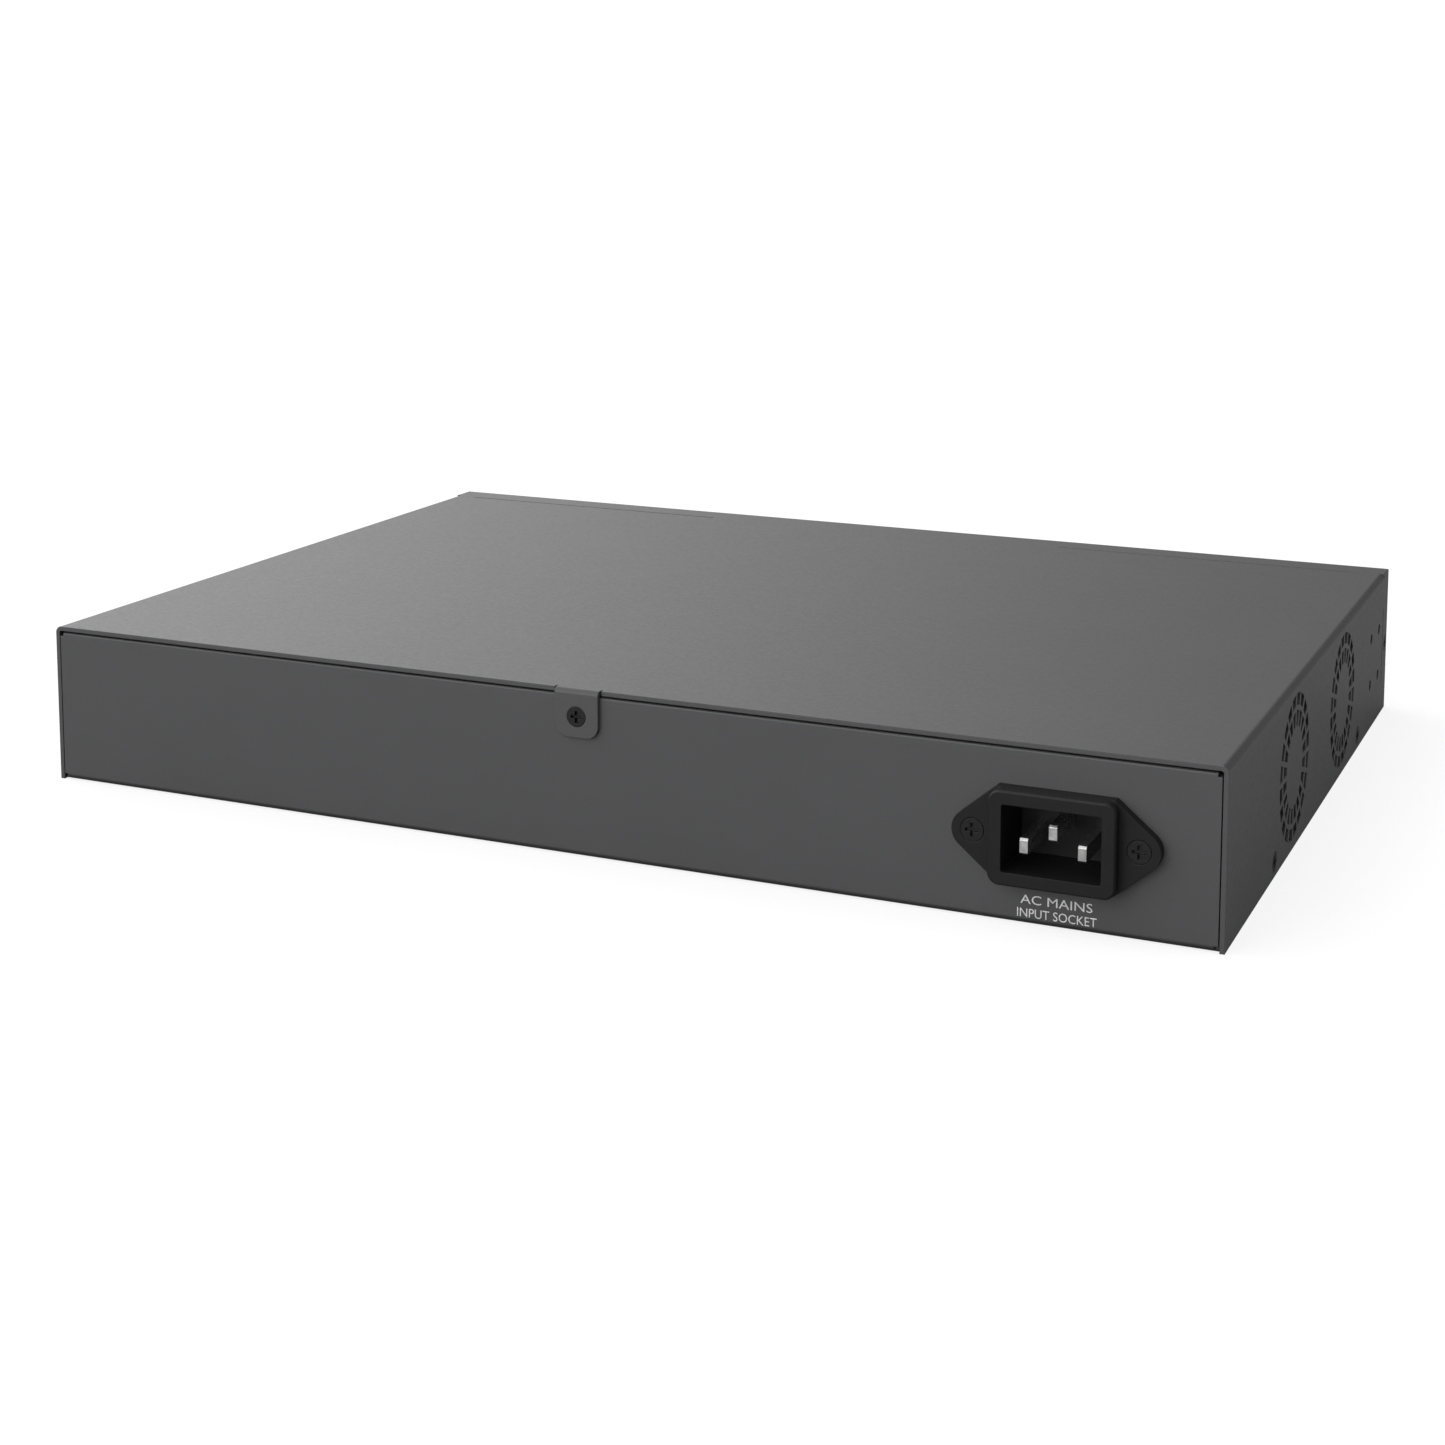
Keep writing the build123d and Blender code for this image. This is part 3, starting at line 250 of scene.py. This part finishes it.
def edge_mask(tree, radius):
    """1 along sharp edges, fading to 0 within about a radius of them; it places the painted edge
    highlight.
    """
    rounded = tree.nodes.new("ShaderNodeBevel")
    rounded.samples = BEVEL_SAMPLES
    rounded.inputs["Radius"].default_value = radius
    flat = tree.nodes.new("ShaderNodeNewGeometry")
    dot = tree.nodes.new("ShaderNodeVectorMath")
    dot.operation = "DOT_PRODUCT"
    tree.links.new(rounded.outputs["Normal"], dot.inputs[0])
    tree.links.new(flat.outputs["Normal"], dot.inputs[1])
    return map_range(tree, dot.outputs["Value"], EDGE_HIGHLIGHT_COSINES)


def mix_colour(tree, factor, first, second):
    """Blend two colours, given as sockets or as triples, by a factor socket."""
    node = tree.nodes.new("ShaderNodeMix")
    node.data_type = "RGBA"
    tree.links.new(factor, node.inputs["Factor"])
    for name, colour in (("A", first), ("B", second)):
        socket = [s for s in node.inputs if s.name == name and s.type == "RGBA"][0]
        if isinstance(colour, tuple):
            socket.default_value = (*colour, 1.0)
        else:
            tree.links.new(colour, socket)
    return [s for s in node.outputs if s.type == "RGBA"][0]


def bump(tree, shader, height, distance, radius=None):
    """Raise the surface by a height value, distance deep, over edges eased by radius."""
    node = tree.nodes.new("ShaderNodeBump")
    node.inputs["Strength"].default_value = 1.0
    node.inputs["Distance"].default_value = distance
    tree.links.new(height, node.inputs["Height"])
    if radius:
        eased = tree.nodes.new("ShaderNodeBevel")
        eased.samples = BEVEL_SAMPLES
        eased.inputs["Radius"].default_value = radius
        tree.links.new(eased.outputs["Normal"], node.inputs["Normal"])
    tree.links.new(node.outputs["Normal"], shader.inputs["Normal"])


def bend_mask(tree):
    """1 where the surface faces between the object's axes, as on a bent corner of the sheet; it
    places the painted shade over the bends.
    """
    across, along, up = face_direction(tree, "ABSOLUTE")
    largest = calculate(tree, "MAXIMUM", calculate(tree, "MAXIMUM", across, along), up)
    return map_range(tree, largest, BEND_SHADE_COSINES)


def scaled(colour, factor):
    """A colour made lighter or darker."""
    return tuple(min(1.0, channel * factor) for channel in colour)


# ---------------------------------------------------------------- materials
CASE_GREY = (0.062, 0.0625, 0.065)
CAN_TOP = (0.72, 0.72, 0.73)
PAD_TIN = (0.60, 0.58, 0.52)
EARTH_GREEN = (0.04, 0.25, 0.05)
EARTH_YELLOW = (0.75, 0.62, 0.06)
EASED_EDGE = 0.25 * MM      # paint and plastic round an edge by this much, and the painted edge highlight is as wide
PLASTIC_EASE = 0.2 * MM
METAL_EASE = 0.12 * MM
FLAT_ENOUGH = 0.95          # a can's top faces up by more than this
STRIPE_EDGE = 0.9           # its stripe faces +X by more than this

# Noise scales, in grains to the metre.
MOTTLING = 40.0
CLOUDS = 120.0
SLEEVE_CLOUDS = 200.0
SHEEN = 900.0
BOARD_SHEEN = 600.0
WINDING_SHEEN = 800.0
LENS_SHEEN = 1200.0
ORANGE_PEEL = 1400.0
SLEEVE_GRAIN = 1500.0
LENS_GRAIN = 1800.0
MOULD_SHEEN = 2500.0
BRUSH_STROKES = 3000.0
MOULD_GRAIN = 5000.0

# Circuit boards, in metres: traces run in a brick pattern and pads are dots.
TRACE_LENGTH = 9.0 * MM
TRACE_PITCH = 1.27 * MM
TRACE_WIDTH = 0.28 * MM
PADS_PER_METRE = 420.0
PAD_RADIUS = 0.16           # as a share of the space between pads
EARTH_STRIPES = 60.0        # wave scale of the stripes round the earth lead


def powder_coat(name, colour, roughness):
    """Satin powder coat: faint orange peel, slight mottling, painted shade over the bends and a
    painted highlight along sharp edges.
    """
    mat, tree, shader = new_material(name)
    patches = noise(tree, MOTTLING, 4.0)
    mottled = ramp_between(tree, patches, scaled(colour, 0.98), scaled(colour, 1.02))
    # Painted shade: the base colour is halved over the sheet's bends, where the light falls dimmer.
    bend_shaded = mix_colour(tree, bend_mask(tree), mottled, scaled(colour, 0.50))
    # Painted highlight: the base colour is lightened along sharp edges.
    edge_highlighted = mix_colour(tree, edge_mask(tree, EASED_EDGE), bend_shaded, scaled(colour, 1.15))
    tree.links.new(edge_highlighted, shader.inputs["Base Color"])
    vary_roughness(tree, shader, noise(tree, SHEEN, 3.0), roughness - 0.03, roughness + 0.03)
    bump(tree, shader, noise(tree, ORANGE_PEEL, 2.0), 0.0035 * MM, EASED_EDGE)
    return mat


def moulded(name, colour, roughness, grain=0.006, gloss=0.5):
    """Injection-moulded plastic with a fine spark-eroded grain, so many millimetres deep, and a
    painted highlight along sharp edges.
    """
    mat, tree, shader = new_material(name)
    shader.inputs["Specular IOR Level"].default_value = gloss
    cloudy = ramp_between(tree, noise(tree, CLOUDS, 3.0), scaled(colour, 0.9), scaled(colour, 1.1))
    # Painted highlight: the base colour is lightened by half along sharp edges.
    edge_highlighted = mix_colour(tree, edge_mask(tree, EASED_EDGE), cloudy, scaled(colour, 1.5))
    tree.links.new(edge_highlighted, shader.inputs["Base Color"])
    vary_roughness(tree, shader, noise(tree, MOULD_SHEEN, 2.0), roughness - 0.05, roughness + 0.05)
    bump(tree, shader, noise(tree, MOULD_GRAIN, 3.0), grain * MM, PLASTIC_EASE)
    return mat


def bare_metal(name, colour, roughness, brushed=(1.0, 1.0, 1.0), relief=0.002):
    """Plated or plain metal, brushed along the axis whose scale is small."""
    mat, tree, shader = new_material(name)
    shader.inputs["Metallic"].default_value = 1.0
    strokes = noise(tree, BRUSH_STROKES, 4.0, brushed)
    tinted = ramp_between(tree, strokes, scaled(colour, 0.88), colour)
    tree.links.new(tinted, shader.inputs["Base Color"])
    vary_roughness(tree, shader, strokes, roughness - 0.05, roughness + 0.06)
    bump(tree, shader, strokes, relief * MM, METAL_EASE)
    return mat


def laminate(name, mask_colour, trace_colour):
    """Circuit board: solder mask over fine traces, with tinned pads."""
    mat, tree, shader = new_material(name)
    traces = tree.nodes.new("ShaderNodeTexBrick")
    traces.inputs["Scale"].default_value = 1.0
    traces.inputs["Brick Width"].default_value = TRACE_LENGTH
    traces.inputs["Row Height"].default_value = TRACE_PITCH
    traces.inputs["Mortar Size"].default_value = TRACE_WIDTH
    traces.inputs["Color1"].default_value = (*mask_colour, 1.0)
    traces.inputs["Color2"].default_value = (*scaled(mask_colour, 0.85), 1.0)
    traces.inputs["Mortar"].default_value = (*trace_colour, 1.0)
    tree.links.new(object_place(tree), traces.inputs["Vector"])
    pads = tree.nodes.new("ShaderNodeTexVoronoi")
    pads.inputs["Scale"].default_value = PADS_PER_METRE
    tree.links.new(object_place(tree), pads.inputs["Vector"])
    dots = calculate(tree, "LESS_THAN", pads.outputs["Distance"], PAD_RADIUS)
    colour = mix_colour(tree, dots, traces.outputs["Color"], PAD_TIN)
    tree.links.new(colour, shader.inputs["Base Color"])
    vary_roughness(tree, shader, noise(tree, BOARD_SHEEN, 2.0), 0.28, 0.42)
    bump(tree, shader, traces.outputs["Fac"], 0.02 * MM)
    return mat


def wound(name, colour, dark, pitch):
    """Enamelled winding or layered tape: fine parallel bands."""
    mat, tree, shader = new_material(name)
    bands = tree.nodes.new("ShaderNodeTexWave")
    bands.bands_direction = "Z"
    bands.inputs["Scale"].default_value = 1.0 / (math.tau * pitch)
    bands.inputs["Distortion"].default_value = 0.6
    bands.inputs["Detail"].default_value = 2.0
    tree.links.new(object_place(tree), bands.inputs["Vector"])
    banded = ramp_between(tree, bands.outputs["Fac"], dark, colour)
    tree.links.new(banded, shader.inputs["Base Color"])
    vary_roughness(tree, shader, noise(tree, WINDING_SHEEN, 2.0), 0.30, 0.45)
    bump(tree, shader, bands.outputs["Fac"], 0.05 * MM)
    return mat


def capacitor_sleeve(name, sleeve, stripe):
    """Shrink sleeve with a paler stripe down one side and a bare aluminium top."""
    mat, tree, shader = new_material(name)
    across, _, up = face_direction(tree)
    side = calculate(tree, "GREATER_THAN", across, STRIPE_EDGE)
    top = calculate(tree, "GREATER_THAN", up, FLAT_ENOUGH)
    clouds = noise(tree, SLEEVE_CLOUDS, 2.0)
    cloudy = ramp_between(tree, clouds, scaled(sleeve, 0.9), scaled(sleeve, 1.1))
    striped = mix_colour(tree, side, cloudy, stripe)
    tree.links.new(mix_colour(tree, top, striped, CAN_TOP), shader.inputs["Base Color"])
    tree.links.new(top, shader.inputs["Metallic"])
    vary_roughness(tree, shader, noise(tree, SHEEN, 2.0), 0.22, 0.34)
    bump(tree, shader, noise(tree, SLEEVE_GRAIN, 2.0), 0.004 * MM)
    return mat


def earth_insulation(name):
    """Green insulation with a yellow helical stripe."""
    mat, tree, shader = new_material(name)
    stripe = tree.nodes.new("ShaderNodeTexWave")
    stripe.bands_direction = "DIAGONAL"
    stripe.inputs["Scale"].default_value = EARTH_STRIPES
    tree.links.new(object_place(tree), stripe.inputs["Vector"])
    colour = ramp_between(tree, stripe.outputs["Fac"], EARTH_GREEN, EARTH_YELLOW, 0.45, 0.5)
    tree.links.new(colour, shader.inputs["Base Color"])
    vary_roughness(tree, shader, noise(tree, SHEEN, 2.0), 0.35, 0.45)
    bump(tree, shader, noise(tree, MOULD_SHEEN, 2.0), 0.004 * MM)
    return mat


def lens_plastic(name, colour):
    """Diffusing lens plastic."""
    mat, tree, shader = new_material(name)
    cloudy = ramp_between(tree, noise(tree, SHEEN, 2.0), scaled(colour, 0.92), colour)
    tree.links.new(cloudy, shader.inputs["Base Color"])
    shader.inputs["Subsurface Weight"].default_value = 0.4
    shader.inputs["Subsurface Radius"].default_value = (MM, MM, MM)
    vary_roughness(tree, shader, noise(tree, LENS_SHEEN, 2.0), 0.12, 0.22)
    bump(tree, shader, noise(tree, LENS_GRAIN, 2.0), 0.003 * MM)
    return mat


# How each finish is made; every record slot has one, and the lettering has ink.
MATERIALS = {
    "case_paint": powder_coat("case_paint", CASE_GREY, 0.42),
    "black_screws": bare_metal("black_screws", (0.042, 0.042, 0.044), 0.40),
    "inlet_plastic": moulded("inlet_plastic", (0.006, 0.006, 0.0065), 0.50, grain=0.004, gloss=0.28),
    "inlet_pins": bare_metal("inlet_pins", (0.80, 0.80, 0.79), 0.30,
                             brushed=(0.2, 0.04, 0.2), relief=0.0004),
    "zinc_steel": bare_metal("zinc_steel", (0.66, 0.67, 0.68), 0.32),
    "fan_plastic": moulded("fan_plastic", (0.012, 0.012, 0.012), 0.45, grain=0.01),
    "fan_windings": wound("fan_windings", (0.62, 0.24, 0.10), (0.20, 0.06, 0.02), 0.25 * MM),
    "main_board_laminate": laminate("main_board_laminate",
                                    (0.010, 0.085, 0.035), (0.020, 0.16, 0.06)),
    "psu_board_laminate": laminate("psu_board_laminate",
                                   (0.16, 0.13, 0.045), (0.26, 0.22, 0.09)),
    "port_plastic": moulded("port_plastic", (0.016, 0.016, 0.016), 0.40),
    "port_tin": bare_metal("port_tin", (0.78, 0.78, 0.76), 0.30,
                           brushed=(0.05, 0.5, 0.5), relief=0.0006),
    "contact_gold": bare_metal("contact_gold", (0.90, 0.66, 0.24), 0.20,
                               brushed=(1.0, 0.1, 1.0), relief=0.0004),
    "led_lens": lens_plastic("led_lens", (0.62, 0.72, 0.64)),
    "button_plastic": moulded("button_plastic", (0.03, 0.03, 0.031), 0.36),
    "chip_epoxy": moulded("chip_epoxy", (0.022, 0.022, 0.023), 0.55, grain=0.01),
    "sink_aluminium": bare_metal("sink_aluminium", (0.60, 0.61, 0.62), 0.36,
                                 brushed=(1.0, 0.05, 1.0)),
    "capacitor_sleeve": capacitor_sleeve("capacitor_sleeve",
                                         (0.010, 0.014, 0.05), (0.45, 0.47, 0.50)),
    "header_nylon": moulded("header_nylon", (0.62, 0.60, 0.53), 0.45),
    "insulating_film": moulded("insulating_film", (0.02, 0.02, 0.022), 0.25, grain=0.002),
    "transformer_tape": wound("transformer_tape",
                              (0.72, 0.50, 0.05), (0.50, 0.33, 0.03), 0.8 * MM),
    "fuse_glass": moulded("fuse_glass", (0.62, 0.60, 0.52), 0.25, grain=0.002),
    "mains_wire": moulded("mains_wire", (0.014, 0.014, 0.015), 0.40, grain=0.003),
    "earth_wire": earth_insulation("earth_wire"),
    "ink": moulded("ink", (0.64, 0.64, 0.64), 0.55, grain=0.001),
}


def dress_cad():
    """Give every CAD node the material of its record slot."""
    for part in frame["record"]["subparts"]:
        mesh = nodes[part["node"]].data
        material = MATERIALS[part["material_slot"]]
        if not mesh.materials:
            mesh.materials.append(material)
        for index in range(len(mesh.materials)):
            mesh.materials[index] = material


# ---------------------------------------------------------------- lettering
INK_THICKNESS = 0.03 * MM
REAR_FACING = Euler((math.pi / 2, 0.0, math.pi))
FRONT_FACING = Euler((math.pi / 2, 0.0, 0.0))
CAP_SHARE = 0.70            # capital height as a share of Blender's font size
RATING_HEIGHT = 2.2 * MM
NUMBER_HEIGHT = 1.7 * MM
ABOVE = 2.4 * MM            # from the top of a port to the middle of the words above it
BELOW = 2.0 * MM            # and from its bottom to the words below it
LIGHTS_GAP = 2.6 * MM       # the same from the status lights, both ways
BUTTON_GAP = 2.2 * MM       # and from the top of a button
PORT_MARGIN = 2.4 * MM      # what a port housing has beyond its columns of ports
PORT_COLUMNS = {"left_port_housing": 4, "right_port_housing": 4, "uplink_port_housing": 1}
FIBRE_MARKS = {"F1": 0.22, "F2": 0.78}      # middle of each slot, as a share of the cages' width

# The two lines under the mains inlet: name, words, drop below the inlet and width.
RATING_LINES = (
    ("inlet_text_upper", "AC MAINS", 4.7 * MM, 17.4 * MM),
    ("inlet_text_lower", "INPUT SOCKET", 8.0 * MM, 19.2 * MM),
)


def lettering(name, text, middle, facing, cap_height, width=None):
    """Printed text, raised by the ink's thickness, centred on a point of a painted face."""
    data = bpy.data.curves.new(name, "FONT")
    data.body = text
    data.align_x = "CENTER"
    data.align_y = "CENTER"
    data.size = cap_height / CAP_SHARE
    data.extrude = INK_THICKNESS / 2
    data.resolution_u = 3
    drawn = bpy.data.objects.new(name + "_curve", data)
    bpy.context.scene.collection.objects.link(drawn)
    bpy.context.view_layer.update()
    depsgraph = bpy.context.evaluated_depsgraph_get()
    mesh = bpy.data.meshes.new_from_object(drawn.evaluated_get(depsgraph))
    natural = drawn.dimensions.x
    bpy.data.objects.remove(drawn)
    piece = bpy.data.objects.new(name, mesh)
    piece.location = middle
    piece.rotation_euler = facing
    if width:
        piece.scale.x = width / natural
    bpy.context.scene.collection.objects.link(piece)
    mesh.materials.clear()
    mesh.materials.append(MATERIALS["ink"])
    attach(piece, "case")


def inlet_rating():
    """Two short generic lines under the mains inlet."""
    low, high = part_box("ac_inlet_housing")
    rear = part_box("base_tray")[1].y + INK_THICKNESS / 2
    middle = (low.x + high.x) / 2
    for name, text, drop, width in RATING_LINES:
        lettering(name, text, (middle, rear, low.z - drop), REAR_FACING, RATING_HEIGHT, width)


def front_legends():
    """Port numbers beside each pair of ports, and plain words beside the lights and buttons."""
    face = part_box("front_panel")[0].y - INK_THICKNESS / 2
    number = 1
    for housing, columns in PORT_COLUMNS.items():
        low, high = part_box(housing)
        pitch = (high.x - low.x - PORT_MARGIN) / columns
        first = low.x + PORT_MARGIN / 2 + pitch / 2
        for column in range(columns):
            across = first + column * pitch
            for height in (high.z + ABOVE, low.z - BELOW):
                spot = (across, face, height)
                lettering(f"port_number_{number}", str(number), spot, FRONT_FACING, NUMBER_HEIGHT)
                number += 1
    low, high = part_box("sfp_cages")
    for text, share in FIBRE_MARKS.items():
        spot = (low.x + share * (high.x - low.x), face, high.z + ABOVE)
        lettering("fibre_mark_" + text, text, spot, FRONT_FACING, NUMBER_HEIGHT)
    low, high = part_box("status_leds")
    middle = (low.x + high.x) / 2
    for name, text, height in (("link_mark", "LINK", high.z + LIGHTS_GAP),
                               ("power_mark", "PORT POWER", low.z - LIGHTS_GAP)):
        lettering(name, text, (middle, face, height), FRONT_FACING, NUMBER_HEIGHT)
    for button, text in (("mode_button", "MODE"), ("reset_button", "RESET")):
        low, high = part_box(button)
        spot = ((low.x + high.x) / 2, face, high.z + BUTTON_GAP)
        lettering(button + "_mark", text, spot, FRONT_FACING, NUMBER_HEIGHT)


bpy.context.scene.view_settings.view_transform = "Standard"
make_camera()
make_world()
make_lights()
make_floor()
dress_cad()
inlet_rating()
front_legends()
